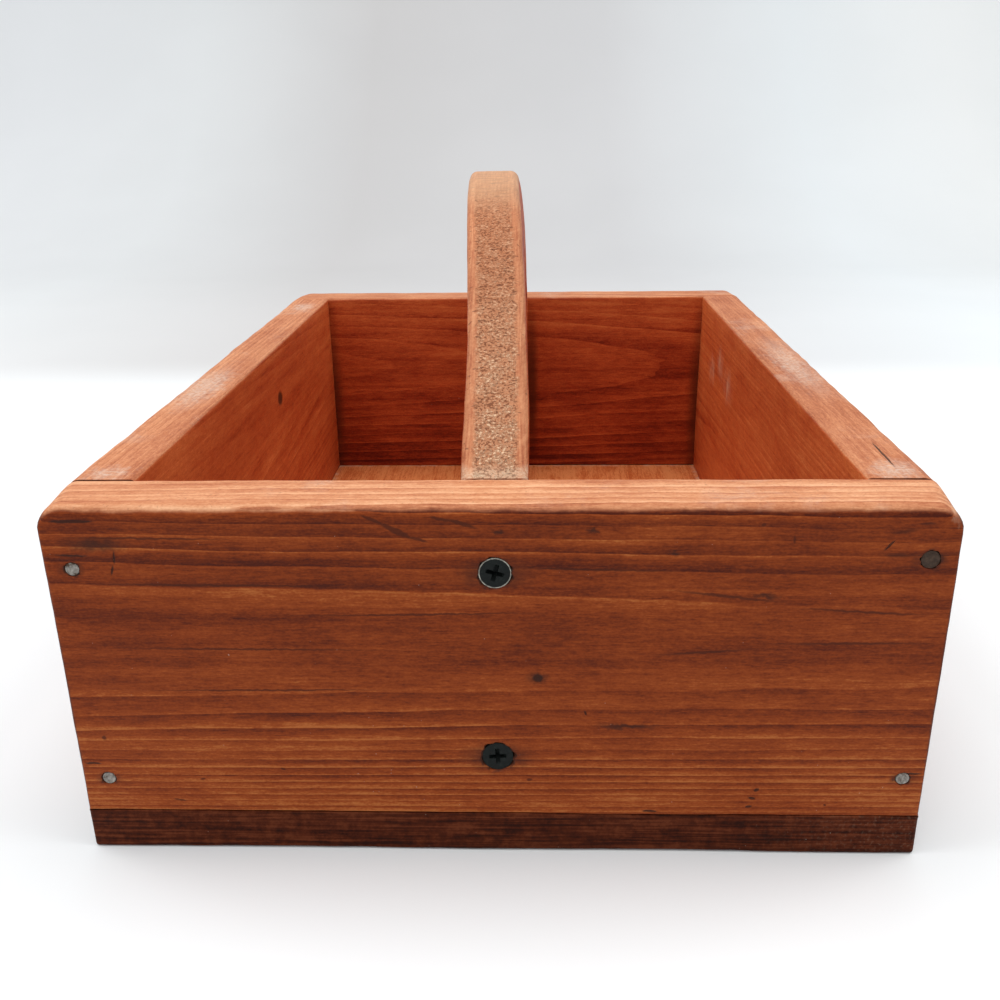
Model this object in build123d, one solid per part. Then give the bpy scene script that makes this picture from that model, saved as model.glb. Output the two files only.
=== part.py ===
from build123d import *
import math
import os
from collections import namedtuple

# A hand-built open tool tote. Four stained boards stand on a darker base board, and an arched
# handle board runs from end to end. Its legs stand on the base and are screwed to the end boards.
# The side boards butt between the end boards and are nailed through them. The base board is
# nailed on from below.
#
# Frame: the origin is the centre of the underside. +X points right, +Y from the front end board
# to the back one, +Z up. Sizes are in millimetres, angles in degrees.

# ---------------------------------------------------------------- driving dimensions

# Box
box_width = 224.2
box_length = 307.9
wall_height = 88.9
side_thickness = 18.3
end_thickness = 19.6
base_thickness = 12.2

# Sanded edges of the box
corner_radius = 1.2
rim_outer_radius = 3.0
rim_inner_radius = 1.2
base_edge_radius = 1.0

# Handle: two legs, straight shoulders and a round crown, all in one board
handle_thickness = 17.1
handle_rise = 67.8
handle_band = 28.0
leg_width = 30.0
shoulder_lift_angle = 9.8
leg_corner_radius = 18.0
handle_edge_radius = 2.2

# Handle screws: black, countersunk, cross recess, with a coarse thread
screw_length = 41.0
screw_head_diameter = 8.1
screw_head_rim = 0.6
screw_head_depth = 4.2
screw_root_diameter = 2.7
screw_thread_diameter = 3.8
screw_thread_start = 7.0
screw_thread_pitch = 2.8
screw_thread_flank = 0.55
screw_point_length = 5.0
screw_recess = 0.5
screw_edge_inset = 17.9
cross_span = 4.7
cross_width = 1.15
cross_depth = 2.5
cross_floor_span = 1.6

# Nails through the end boards. Insets run from a board's side, top or bottom edge to the nail.
nail_side_inset = 7.2
nail_side_inset_low_right = 6.0
nail_top_inset_left = 16.9
nail_top_inset_right = 14.1
nail_bottom_inset_left = 10.2
nail_bottom_inset_right = 11.9
nail_head_diameter = 3.6
wide_nail_head_diameter = 4.7

# Every nail
nail_length = 45.0
nail_shank_diameter = 2.2
nail_head_thickness = 1.1
nail_head_chamfer = 0.3
nail_point_length = 4.0
nail_recess = 0.35

# Nails from below, with wide heads
base_nails_per_side = 3
base_nails_per_end = 2
base_nail_corner_inset_y = 58.0
base_nail_corner_inset_x = 52.0

# Room between a fastener and its hole
fastener_clearance = 0.05

# ---------------------------------------------------------------- worked-out sizes

rim_z = base_thickness + wall_height
inner_width = box_width - 2 * side_thickness
inner_length = box_length - 2 * end_thickness
crown_z = rim_z + handle_rise

# The nails at an end board's corners, set by hand
CornerNail = namedtuple("CornerNail", "side level side_inset level_inset head_diameter")
corner_nails = [
    CornerNail("left", "upper", nail_side_inset, nail_top_inset_left, nail_head_diameter),
    CornerNail("left", "lower", nail_side_inset, nail_bottom_inset_left, nail_head_diameter),
    CornerNail("right", "upper", nail_side_inset, nail_top_inset_right, wide_nail_head_diameter),
    CornerNail("right", "lower", nail_side_inset_low_right, nail_bottom_inset_right, nail_head_diameter),
]

# How far each handle screw's cross is turned
cross_turn = {"upper": -15.0, "lower": 4.0}

SIDE_SIGN = {"left": -1, "right": 1}
END_SIGN = {"front": -1, "back": 1}


# ---------------------------------------------------------------- fasteners
# Each is made about +Z with its head's top at z = 0 and its point below, and then placed.


def turned(points):
    """A solid of revolution about +Z from (radius, height) points."""
    outline = Polyline(*points, close=True)
    return revolve(Plane.XZ * make_face(outline), Axis.Z)


def thread_points():
    """The screw's ridges, from the head down, as (radius, height) points."""
    root = screw_root_diameter / 2
    crest = screw_thread_diameter / 2
    threaded = screw_length - screw_point_length - screw_thread_start
    points = []
    for turn in range(int(threaded / screw_thread_pitch)):
        height = -screw_thread_start - turn * screw_thread_pitch
        points.append((root, height + screw_thread_flank))
        points.append((crest, height))
        points.append((root, height - screw_thread_flank))
    return points


def cross_recess():
    """The driver's cross: four wings that taper towards the bottom of the recess."""
    wings = Box(cross_span, cross_width, 2 * cross_depth) + Box(cross_width, cross_span, 2 * cross_depth)
    taper = turned(
        [
            (0, 0),
            (cross_span / 2, 0),
            (cross_floor_span / 2, -cross_depth),
            (0, -cross_depth - cross_floor_span / 4),
        ]
    )
    return wings & taper


def screw():
    """A countersunk screw whose head sweeps into its shank."""
    head = screw_head_diameter / 2
    root = screw_root_diameter / 2
    outline = [(0, 0), (head, 0), (head, -screw_head_rim)]
    sweep_low = (root, -screw_head_depth)
    tail = thread_points() + [(root, -screw_length + screw_point_length), (0, -screw_length)]
    with BuildPart() as body:
        with BuildSketch(Plane.XZ):
            with BuildLine():
                Polyline(*outline)
                SagittaArc(outline[-1], sweep_low, -screw_head_rim)
                Polyline(sweep_low, *tail, outline[0])
            make_face()
        revolve(axis=Axis.Z)
    return body.part


def screw_hole():
    """The screw's hole: open above the head, coned under it, then as wide as the thread."""
    head = screw_head_diameter / 2 + fastener_clearance
    bore = screw_thread_diameter / 2 + fastener_clearance
    return turned(
        [
            (0, end_thickness),
            (head, end_thickness),
            (head, -screw_head_rim),
            (bore, -screw_head_depth),
            (bore, -screw_length - fastener_clearance),
            (0, -screw_length - fastener_clearance),
        ]
    )


def nail(head_diameter):
    head = head_diameter / 2
    shank = nail_shank_diameter / 2
    return turned(
        [
            (0, 0),
            (head - nail_head_chamfer, 0),
            (head, -nail_head_chamfer),
            (head, -nail_head_thickness),
            (shank, -nail_head_thickness),
            (shank, -nail_length + nail_point_length),
            (0, -nail_length),
        ]
    )


def nail_hole(head_diameter):
    head = head_diameter / 2 + fastener_clearance
    shank = nail_shank_diameter / 2 + fastener_clearance
    return turned(
        [
            (0, end_thickness),
            (head, end_thickness),
            (head, -nail_head_thickness - fastener_clearance),
            (shank, -nail_head_thickness - fastener_clearance),
            (shank, -nail_length - fastener_clearance),
            (0, -nail_length - fastener_clearance),
        ]
    )


# ---------------------------------------------------------------- where the fasteners go


def into_end(x, z, end, recess):
    """A plane whose +Z looks out of an end board, sunk by recess below the board's face."""
    sign = END_SIGN[end]
    return Plane(
        origin=(x, sign * (box_length / 2 - recess), z),
        x_dir=(-sign, 0, 0),
        z_dir=(0, sign, 0),
    )


def into_base(x, y):
    """A plane whose +Z looks down out of the base board, sunk by the nails' recess."""
    return Plane(origin=(x, y, nail_recess), x_dir=(1, 0, 0), z_dir=(0, 0, -1))


def handle_screw_places():
    """Each handle screw's name, plane and cross angle."""
    heights = {"upper": rim_z - screw_edge_inset, "lower": base_thickness + screw_edge_inset}
    places = []
    for end in END_SIGN:
        for level, height in heights.items():
            name = f"handle_screw_{end}_{level}"
            places.append((name, into_end(0, height, end, screw_recess), cross_turn[level]))
    return places


def corner_nail_places():
    """Each corner nail's name, plane and head diameter."""
    places = []
    for end in END_SIGN:
        for spot in corner_nails:
            x = SIDE_SIGN[spot.side] * (box_width / 2 - spot.side_inset)
            from_top = rim_z - spot.level_inset
            from_bottom = base_thickness + spot.level_inset
            z = from_top if spot.level == "upper" else from_bottom
            name = f"corner_nail_{end}_{spot.side}_{spot.level}"
            places.append((name, into_end(x, z, end, nail_recess), spot.head_diameter))
    return places


def evenly(half_span, count):
    """count places, evenly spaced from -half_span to half_span."""
    step = 2 * half_span / (count - 1)
    return [-half_span + step * number for number in range(count)]


def base_nail_places():
    """Each base nail's name, plane and head diameter. They run up the middles of the walls."""
    side_x = (box_width - side_thickness) / 2
    end_y = (box_length - end_thickness) / 2
    places = []
    for side, sign in SIDE_SIGN.items():
        rows = evenly(box_length / 2 - base_nail_corner_inset_y, base_nails_per_side)
        for number, y in enumerate(rows, start=1):
            name = f"base_nail_{side}_{number}"
            places.append((name, into_base(sign * side_x, y), wide_nail_head_diameter))
    for end, sign in END_SIGN.items():
        rows = evenly(box_width / 2 - base_nail_corner_inset_x, base_nails_per_end)
        for number, x in enumerate(rows, start=1):
            name = f"base_nail_{end}_{number}"
            places.append((name, into_base(x, sign * end_y), wide_nail_head_diameter))
    return places


# ---------------------------------------------------------------- boards


def wall_ring():
    """The four walls in one piece, with their sanded edges. The boards are cut from it."""
    outer = Pos(0, 0, base_thickness + wall_height / 2) * Box(box_width, box_length, wall_height)
    outer = fillet(outer.faces().sort_by(Axis.Z)[-1].edges(), rim_outer_radius)
    outer = fillet(outer.edges().filter_by(Axis.Z), corner_radius)
    hollow = Pos(0, 0, base_thickness + wall_height / 2) * Box(inner_width, inner_length, wall_height)
    ring = outer - hollow
    rim = ring.faces().sort_by(Axis.Z)[-1]
    return fillet(rim.inner_wires()[0].edges(), rim_inner_radius)


def end_board(ring, end):
    middle = END_SIGN[end] * (box_length - end_thickness) / 2
    room = Box(box_width, end_thickness, wall_height)
    return ring & (Pos(0, middle, base_thickness + wall_height / 2) * room)


def side_board(ring, side):
    middle = SIDE_SIGN[side] * (box_width - side_thickness) / 2
    room = Box(side_thickness, inner_length, wall_height)
    return ring & (Pos(middle, 0, base_thickness + wall_height / 2) * room)


def base_board():
    board = Pos(0, 0, base_thickness / 2) * Box(box_width, box_length, base_thickness)
    board = fillet(board.edges().filter_by(Axis.Z), corner_radius)
    return fillet(board.faces().sort_by(Axis.Z)[0].edges(), base_edge_radius)


# ---------------------------------------------------------------- handle


def arch_outline(half_span, foot_z, spring_z, crown, radius, angle):
    """An arch on straight legs: shoulders that rise at angle and run into a round crown."""
    tangent_y = radius * math.sin(math.radians(angle))
    tangent_z = crown - radius + radius * math.cos(math.radians(angle))
    with BuildSketch() as sketch:
        with BuildLine():
            Polyline((-tangent_y, tangent_z), (-half_span, spring_z), (-half_span, foot_z))
            Line((-half_span, foot_z), (half_span, foot_z))
            Polyline((half_span, foot_z), (half_span, spring_z), (tangent_y, tangent_z))
            ThreePointArc((tangent_y, tangent_z), (0, crown), (-tangent_y, tangent_z))
        make_face()
    return sketch.sketch


def arch_handle():
    """One board, cut to an arch. Its legs fill the height between the base and the rim."""
    half_span = inner_length / 2
    chord_angle = math.degrees(math.atan2(handle_rise, half_span))
    angle = chord_angle + shoulder_lift_angle
    sine = math.sin(math.radians(angle))
    cosine = math.cos(math.radians(angle))
    crown_radius = (half_span * sine - handle_rise * cosine) / (1 - cosine)
    outside = arch_outline(half_span, base_thickness, rim_z, crown_z, crown_radius, angle)

    opening_half = half_span - leg_width
    opening_spring_z = rim_z + (leg_width * sine - handle_band) / cosine
    opening = arch_outline(
        opening_half,
        base_thickness,
        opening_spring_z,
        crown_z - handle_band,
        crown_radius - handle_band,
        angle,
    )
    corners = [
        corner
        for corner in opening.vertices()
        if math.isclose(abs(corner.X), opening_half) and corner.Y > rim_z / 2
    ]
    opening = fillet(corners, leg_corner_radius)

    board = extrude(Plane.YZ * (outside - opening), handle_thickness / 2, both=True)
    cheeks = board.faces().filter_by(Axis.X)
    return fillet(cheeks.edges(), handle_edge_radius)


# ---------------------------------------------------------------- assembly


def tote():
    """Every piece by its name, with the holes of the fasteners cut in the boards."""
    ring = wall_ring()
    walls = {f"{end}_end_board": end_board(ring, end) for end in END_SIGN}
    walls.update({f"{side}_side_board": side_board(ring, side) for side in SIDE_SIGN})
    handle = arch_handle()
    base = base_board()
    fasteners = {}

    for name, place, turn in handle_screw_places():
        recess = Rot(0, 0, turn) * cross_recess()
        fasteners[name] = place * (screw() - recess)
        hole = place * screw_hole()
        end = name.split("_")[2]
        walls[f"{end}_end_board"] -= hole
        handle -= hole

    for name, place, head_diameter in corner_nail_places():
        fasteners[name] = place * nail(head_diameter)
        hole = place * nail_hole(head_diameter)
        end, side = name.split("_")[2:4]
        walls[f"{end}_end_board"] -= hole
        walls[f"{side}_side_board"] -= hole

    for name, place, head_diameter in base_nail_places():
        fasteners[name] = place * nail(head_diameter)
        hole = place * nail_hole(head_diameter)
        wall = name.split("_")[2]
        kind = "end" if wall in END_SIGN else "side"
        base -= hole
        walls[f"{wall}_{kind}_board"] -= hole

    return {**walls, "base_board": base, "arch_handle": handle, **fasteners}


os.makedirs("parts", exist_ok=True)
for node, piece in tote().items():
    export_step(piece, f"parts/{node}.step")
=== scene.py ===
"""The looks of a hand-built wooden tool tote: stained, worn boards, a rough arched handle,
black screws and hammered nails. Lengths are in millimetres."""

import math
from collections import namedtuple
from functools import partialmethod

import bmesh
import bpy
import numpy as np
from mathutils import Matrix, Vector


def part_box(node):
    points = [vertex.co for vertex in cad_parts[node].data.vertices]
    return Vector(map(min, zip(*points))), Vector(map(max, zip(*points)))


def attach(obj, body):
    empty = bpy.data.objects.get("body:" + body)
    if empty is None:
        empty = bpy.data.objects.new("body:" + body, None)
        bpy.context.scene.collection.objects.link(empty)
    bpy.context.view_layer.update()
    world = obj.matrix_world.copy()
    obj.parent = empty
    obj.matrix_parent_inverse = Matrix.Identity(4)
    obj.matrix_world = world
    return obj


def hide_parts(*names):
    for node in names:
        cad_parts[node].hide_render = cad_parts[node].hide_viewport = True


MM = 0.001

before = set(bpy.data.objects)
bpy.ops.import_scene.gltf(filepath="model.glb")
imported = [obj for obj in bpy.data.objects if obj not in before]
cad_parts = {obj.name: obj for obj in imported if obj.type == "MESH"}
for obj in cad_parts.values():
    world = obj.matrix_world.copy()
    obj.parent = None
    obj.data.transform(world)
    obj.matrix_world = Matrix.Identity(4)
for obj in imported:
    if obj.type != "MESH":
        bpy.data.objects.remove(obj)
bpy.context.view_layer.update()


def spans(node):
    """The lowest and highest corner of a CAD node, in millimetres."""
    return [np.array(corner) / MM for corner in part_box(node)]


FRONT_LOW, FRONT_HIGH = spans("front_end_board")
BACK_LOW, BACK_HIGH = spans("back_end_board")
LEFT_LOW, LEFT_HIGH = spans("left_side_board")
RIGHT_LOW, RIGHT_HIGH = spans("right_side_board")
HANDLE_LOW, HANDLE_HIGH = spans("arch_handle")
FLOOR_Z = FRONT_LOW[2]
RIM_Z = FRONT_HIGH[2]
FRONT_Y = FRONT_LOW[1]
NAILS = sorted(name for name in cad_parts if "nail" in name)
SCREWS = sorted(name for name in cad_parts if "screw" in name)
NUMBER = {node: number for number, node in enumerate(NAILS + SCREWS)}

# ---------------- sizes of the finish

CORNER_RADIUS = 1.2
RIM_OUTER_RADIUS = 3.2
RIM_CORNER_RADIUS = 6.4
RIM_INNER_RADIUS = 1.3
BASE_EDGE_RADIUS = 1.0
JOINT_EDGE_RADIUS = 0.45
BOARD_STEP = 2.1
PLANED_DEPTH = 0.15
LEAST_DEPTH = 0.02
EDGE_STOPS = (0.0, 0.25, 0.55, 0.9, 1.35, 1.9, 2.6, 3.4, 4.4, 5.6)
SHARP_ANGLE = math.radians(38)
TINY = 1e-9
SIGN = {-1: "-", 1: "+"}

HANDLE_BAND = 28.0
LEG_WIDTH = 30.0
SHOULDER_LIFT = math.radians(9.8)
LEG_CORNER_RADIUS = 18.0
HANDLE_EDGE_RADIUS = 2.8
HANDLE_GROWTH = 0.3
FOOT_FLARE = 0.9
FOOT_FLARE_RISE = 26.0
HANDLE_SHIFTS = (-0.4, -2.5)
HANDLE_BOW = -3.2
HANDLE_BOW_POWER = 3.1

NAIL_SHANK_RADIUS = 1.1
HEAD_THICKNESS = 1.1
NAIL_ROOM = 0.1
SCREW_BORE_RADIUS = 2.05
SCREW_CONE_DEPTH = 4.4
CUTTER_TOP = 4.0
ROOM_BELOW = 0.15


# ---------------- mesh helpers


def ripple(points, wavelength, seed, waves=28):
    """Smooth noise of about unit height at points, made of plane waves in seeded directions."""
    draw = np.random.default_rng(seed)
    ways = draw.normal(size=(waves, 3))
    ways /= np.linalg.norm(ways, axis=1)[:, None]
    rates = 2 * math.pi / (wavelength * draw.uniform(0.7, 1.6, waves))
    phases = draw.uniform(0, 2 * math.pi, waves)
    return np.sin(points @ (ways * rates[:, None]).T + phases).sum(1) / math.sqrt(waves)


def smoothstep(value, low, high):
    share = np.clip((value - low) / (high - low), 0, 1)
    return share * share * (3 - 2 * share)


def placed(name, data):
    """A new object in the scene."""
    made = bpy.data.objects.new(name, data)
    bpy.context.scene.collection.objects.link(made)
    return made


def mesh_object(name, vertices, faces, sharp_angle=SHARP_ANGLE):
    """A smooth-shaded object from vertices in millimetres."""
    mesh = bpy.data.meshes.new(name)
    mesh.from_pydata((np.asarray(vertices) * MM).tolist(), [], [tuple(map(int, f)) for f in faces])
    made = placed(name, mesh)
    weld(mesh)
    soften(mesh, sharp_angle)
    return made


def weld(mesh):
    """Joins vertices that lie together and turns every face outwards."""
    work = bmesh.new()
    work.from_mesh(mesh)
    bmesh.ops.remove_doubles(work, verts=work.verts, dist=1e-7)
    bmesh.ops.recalc_face_normals(work, faces=work.faces)
    work.to_mesh(mesh)
    work.free()


def soften(mesh, sharp_angle=SHARP_ANGLE):
    mesh.shade_smooth()
    mesh.set_sharp_from_angle(angle=sharp_angle)


def tube_quads(rows, around):
    """The quads between rows of points that each go once round."""
    quads = []
    for start in range(0, (rows - 1) * around, around):
        for column in range(around):
            beside = (column + 1) % around
            quads.append((start + column, start + beside, start + around + beside, start + around + column))
    return quads


def displace(piece, height):
    """Moves each vertex along its normal by height(points, normals), in millimetres."""
    mesh = piece.data
    count = len(mesh.vertices)
    points = np.empty(count * 3)
    mesh.vertices.foreach_get("co", points)
    points = points.reshape(-1, 3) / MM
    normals = np.array([v.normal for v in mesh.vertices])
    moved = points + normals * height(points, normals)[:, None]
    mesh.vertices.foreach_set("co", (moved * MM).ravel())
    mesh.update()


def settle(piece, nodes, material):
    """Gives a piece its material, and puts it in the place of its CAD nodes."""
    piece.data.materials.clear()
    piece.data.materials.append(material)
    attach(piece, "root")
    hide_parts(*nodes)


# ---------------- boards


def stops(low, high, step=BOARD_STEP):
    """Places along a side: close together at its ends, step apart between."""
    near = np.array([s for s in EDGE_STOPS if s < (high - low) / 2 - 0.2])
    inner_low, inner_high = low + near[-1], high - near[-1]
    count = max(2, math.ceil((inner_high - inner_low) / step) + 1)
    middle = np.linspace(inner_low, inner_high, count)[1:-1]
    return np.concatenate([low + near, middle, (high - near)[::-1]])


def box_skin(axes):
    """The vertices and quads of a box whose sides are divided at the given places."""
    grid = np.stack(np.meshgrid(*axes, indexing="ij"), -1)
    skin = np.zeros(grid.shape[:3], bool)
    for axis in range(3):
        np.moveaxis(skin, axis, 0)[[0, -1]] = True
    index = np.full(skin.shape, -1)
    index[skin] = np.arange(skin.sum())
    quads = []
    for axis in range(3):
        for side in (0, -1):
            sheet = np.take(index, side, axis)
            corners = [sheet[:-1, :-1], sheet[1:, :-1], sheet[1:, 1:], sheet[:-1, 1:]]
            if (side == 0) != (axis == 1):
                corners.reverse()
            quads.append(np.stack(corners, -1).reshape(-1, 4))
    return grid[skin], np.concatenate(quads)


def worn_radius(local, radii, keys, share, seed):
    """The radius of the edges whose keys are given, blended by share and worn unevenly."""
    first, second = (radii.get(key, JOINT_EDGE_RADIUS) for key in keys)
    first, second = (r(local) if callable(r) else r for r in (first, second))
    wear = 0.07 * ripple(local, 55, seed) + 0.08 * ripple(local, 16, seed + 1)
    return (first + (second - first) * share) * np.clip(1 + wear, 0.6, 1.6)


def rounding(over_a, over_b):
    """The factor that turns the corner square of two offsets into a quarter disc."""
    corner = (over_a > 0) & (over_b > 0)
    reach = np.maximum(np.hypot(over_a, over_b), TINY)
    return np.where(corner, np.maximum(over_a, over_b) / reach, 1.0)


def round_long_edges(local, deep, radii, seed):
    """The depths of a box's points with its edges along y rounded, and the way in at each of them."""
    radius = np.zeros(len(local))
    for sign_x, sign_z in ((-1, -1), (-1, 1), (1, -1), (1, 1)):
        here = ((local[:, 0] >= 0) == (sign_x > 0)) & ((local[:, 2] >= 0) == (sign_z > 0))
        key = f"{SIGN[sign_x]}x{SIGN[sign_z]}z"
        radius[here] = worn_radius(local[here], radii, (key, key), 0.0, seed)
    over_x, over_z = radius - deep[:, 0], radius - deep[:, 2]
    factor = rounding(over_x, over_z)
    corner = factor < 1
    moved = deep.copy()
    moved[:, 0] = np.where(corner, radius - over_x * factor, deep[:, 0])
    moved[:, 2] = np.where(corner, radius - over_z * factor, deep[:, 2])
    upright = np.where(deep[:, 2] < deep[:, 0], 1.0, 0.0)
    reach = np.maximum(np.hypot(over_x, over_z), TINY)
    return moved, np.where(corner, over_x / reach, 1 - upright), np.where(corner, over_z / reach, upright)


def rounded(local, half, radii, seed):
    """A box's points with its long edges rounded first, then the edges of its two y faces."""
    deep = half - np.abs(local)
    moved, way_x, way_z = round_long_edges(local, deep, radii, seed)
    radius = np.zeros(len(local))
    for sign_y, sign_z in ((-1, -1), (-1, 1), (1, -1), (1, 1)):
        here = ((local[:, 1] >= 0) == (sign_y > 0)) & ((local[:, 2] >= 0) == (sign_z > 0))
        keys = (f"+x{SIGN[sign_y]}y", f"{SIGN[sign_y]}y{SIGN[sign_z]}z")
        share = smoothstep(way_z[here], 0.1, 0.95)
        radius[here] = worn_radius(local[here], radii, keys, share, seed + 5)
    over_side, over_face = radius - np.minimum(deep[:, 0], deep[:, 2]), radius - deep[:, 1]
    factor = rounding(over_side, over_face)
    inward = np.where(factor < 1, over_side * (1 - factor), 0.0)
    moved[:, 0] += inward * way_x
    moved[:, 2] += inward * way_z
    moved[:, 1] = np.where(factor < 1, radius - over_face * factor, deep[:, 1])
    return np.where(local < 0, -1.0, 1.0) * (half - moved)


def rim_corner(outward):
    """The rounding along an end board's short top edge, which grows towards the box's corner."""
    reach = (FRONT_HIGH[1] - FRONT_LOW[1]) / 2
    grown = RIM_CORNER_RADIUS - RIM_OUTER_RADIUS
    return lambda local: RIM_OUTER_RADIUS + grown * smoothstep(outward * local[:, 1], -reach, reach * 0.9)


def board(node, radii, wear_seed):
    """A board in the place of a CAD node, its edges rounded and worn by hand."""
    low, high = spans(node)
    points, quads = box_skin([stops(a, b) for a, b in zip(low, high)])
    half = (high - low) / 2
    middle = (high + low) / 2
    piece = mesh_object(node + "_wood", rounded(points - middle, half, radii, wear_seed) + middle, quads)
    displace(piece, lambda at, _: dressing(at, wear_seed))
    return piece


def dressing(points, seed):
    """How far a hand-planed face lies below the true one, never above it."""
    long_wave = 0.09 * ripple(points, 60, seed + 2)
    short_wave = 0.035 * ripple(points, 9, seed + 3)
    return np.minimum(long_wave + short_wave - PLANED_DEPTH, -LEAST_DEPTH)


# ---------------- fasteners

Seat = namedtuple("Seat", "head out side up radius length")


def seat_of(node):
    """Where a fastener's head is, which way it looks, and its head's radius and its length."""
    low, high = spans(node)
    middle = (low + high) / 2
    if node.startswith("base_nail"):
        out = np.array([0.0, 0.0, -1.0])
    elif "_front" in node:
        out = np.array([0.0, -1.0, 0.0])
    else:
        out = np.array([0.0, 1.0, 0.0])
    reach = abs(out @ (high - low))
    side = np.array([1.0, 0.0, 0.0])
    return Seat(middle + out * reach / 2, out, side, np.cross(out, side), (high - low)[0] / 2, reach)


def lathe(seat, profile, segments, wobble=None):
    """Vertices and quads turned about a seat's axis from (radius, height) points."""
    angles = np.linspace(0, 2 * math.pi, segments, endpoint=False)
    ring = np.cos(angles)[:, None] * seat.side + np.sin(angles)[:, None] * seat.up
    rows = []
    for radius, height in profile:
        grow = 1 if wobble is None else 1 + wobble(angles, height)[:, None]
        rows.append(seat.head + ring * radius * grow + seat.out * height)
    return np.concatenate(rows), tube_quads(len(profile), segments)


def hole_profile(node, seat):
    """The hole round a fastener: a crushed mouth, the head's pocket and the shank's bore."""
    head, deep = seat.radius, -seat.length - ROOM_BELOW
    if node in SCREWS:
        bore, pocket = SCREW_BORE_RADIUS, -SCREW_CONE_DEPTH
        mouth = [(head + 1.3, CUTTER_TOP), (head + 0.75, 0.5), (head + 0.2, 0), (head + 0.15, -0.75)]
    else:
        bore, pocket = NAIL_SHANK_RADIUS + NAIL_ROOM, -HEAD_THICKNESS - NAIL_ROOM
        wall = head + NAIL_ROOM
        mouth = [(head + 0.9, CUTTER_TOP), (head + 0.4, 0.3), (wall, 0), (wall, pocket)]
    return [(0, CUTTER_TOP), *mouth, (bore, pocket), (bore, deep), (0, deep)]


def hole(node, seed):
    """A cutter for one fastener's hole, its mouth torn along the grain."""
    seat = seat_of(node)
    draw = np.random.default_rng(seed)
    phases = draw.uniform(0, 2 * math.pi, 4)

    def torn(angles, height):
        mouth = 0.045 if height > -0.2 else 0.0
        along_grain = 0.6 + abs(np.cos(angles))
        waves = sum(np.sin((3 + 3 * i) * angles + phases[i]) for i in range(4))
        return mouth * along_grain * waves / 2

    vertices, quads = lathe(seat, hole_profile(node, seat), 56 if node in SCREWS else 40, torn)
    return mesh_object("cutter", vertices, quads)


def cut(piece, nodes):
    """Cuts the fasteners' holes out of a piece."""
    if not nodes:
        return
    cutters = [hole(node, 40 + NUMBER[node]) for node in nodes]
    joined = bmesh.new()
    for cutter in cutters:
        joined.from_mesh(cutter.data)
    tool_mesh = bpy.data.meshes.new("cutters")
    joined.to_mesh(tool_mesh)
    joined.free()
    tool = placed("cutters", tool_mesh)
    modifier = piece.modifiers.new("holes", "BOOLEAN")
    modifier.operation = "DIFFERENCE"
    modifier.solver = "EXACT"
    modifier.object = tool
    bpy.context.view_layer.update()
    evaluated = piece.evaluated_get(bpy.context.evaluated_depsgraph_get())
    fresh = bpy.data.meshes.new_from_object(evaluated)
    piece.modifiers.clear()
    old = piece.data
    piece.data = fresh
    bpy.data.meshes.remove(old)
    for spent in [*cutters, tool]:
        spent_mesh = spent.data
        bpy.data.objects.remove(spent)
        bpy.data.meshes.remove(spent_mesh)
    soften(piece.data)


def nail_piece(node):
    """A nail with a hammered head, dented unevenly."""
    seat = seat_of(node)
    head, shank, deep = seat.radius, NAIL_SHANK_RADIUS, -seat.length
    rings = [(head * share, 0.0) for share in np.linspace(0, 0.9, 12)]
    edge = [(head * 0.965, -0.07), (head, -0.25), (head, -HEAD_THICKNESS)]
    tail = [(shank, -HEAD_THICKNESS), (shank, deep + 4), (0.25, deep + 0.2), (0, deep)]
    vertices, quads = lathe(seat, rings + edge + tail, 36)
    piece = mesh_object(node + "_steel", vertices, quads)
    seed = 70 + NUMBER[node]

    def hammered(points, normals):
        facing = smoothstep(normals @ seat.out, 0.6, 0.95)
        dents = 0.07 * ripple(points, 2.4, seed) + 0.025 * ripple(points, 0.8, seed + 30)
        return facing * np.minimum(dents - 0.05, 0.0)

    displace(piece, hammered)
    return piece


# ---------------- handle


def resample(path, count):
    """count points, evenly spaced along a path."""
    path = np.asarray(path, float)
    lengths = np.concatenate([[0], np.cumsum(np.linalg.norm(np.diff(path, axis=0), axis=1))])
    at = np.linspace(0, lengths[-1], count)
    return np.stack([np.interp(at, lengths, path[:, i]) for i in range(2)], 1)


def arc(centre, radius, start, end, count=40):
    """Points in the (y, z) plane. Angles are in radians from +y towards +z."""
    angles = np.linspace(start, end, count)
    return [(centre[0] + radius * math.cos(a), centre[1] + radius * math.sin(a)) for a in angles]


HANDLE_SLOPE = math.atan2(HANDLE_HIGH[2] - RIM_Z, HANDLE_HIGH[1]) + SHOULDER_LIFT
CROWN_RADIUS = (
    HANDLE_HIGH[1] * math.sin(HANDLE_SLOPE) - (HANDLE_HIGH[2] - RIM_Z) * math.cos(HANDLE_SLOPE)
) / (1 - math.cos(HANDLE_SLOPE))


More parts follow.
